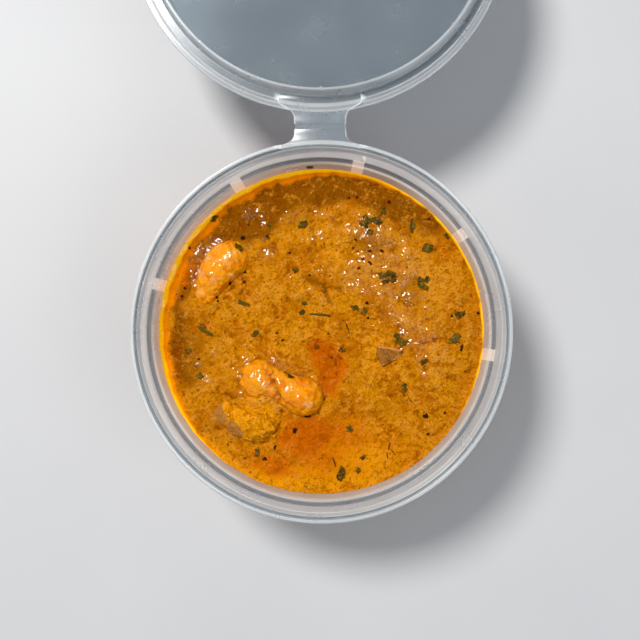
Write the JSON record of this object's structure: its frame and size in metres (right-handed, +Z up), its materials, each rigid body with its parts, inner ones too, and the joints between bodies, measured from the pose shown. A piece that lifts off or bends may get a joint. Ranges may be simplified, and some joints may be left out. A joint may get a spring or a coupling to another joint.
{
  "type": "shrimp curry in a hinged-lid tub",
  "caption": "Round milky plastic tub with a hinged lid, open, filled with creamy orange curry in which shrimps and a piece of onion lie half sunk.",
  "frame": {"origin": "centre of the tub's underside, on the surface it stands on", "axes": "+Z up, the opened lid lies towards +Y, +X along the hinge line to the right"},
  "size_m": [0.116, 0.2409, 0.048],
  "materials": {
    "milky_plastic": "translucent milky polypropylene, satin",
    "curry_sauce": "wet, grainy, creamy orange sauce",
    "shrimp_flesh": "wet cooked flesh coated with sauce",
    "onion_flesh": "wet, soft, sauce-stained",
    "chili_oil": "thin glossy orange oil",
    "herb_green": "wet chopped leaf",
    "spice_dark": "ground spice and seed fragments"
  },
  "bodies": {
    "tub_body": {"tub": "milky_plastic", "curry": "curry_sauce", "shrimp_left": "shrimp_flesh", "shrimp_middle": "shrimp_flesh", "shrimp_lower": "shrimp_flesh", "onion_piece": "onion_flesh"},
    "lid_body": {"lid": "milky_plastic"}
  },
  "joints": [
    {"name": "lid_hinge", "type": "hinge", "parent": "tub_body", "child": "lid_body", "pos_m": [0, 0.0624, 0.04425], "axis": [1, 0, 0], "range_deg": [0, 180]}
  ]
}
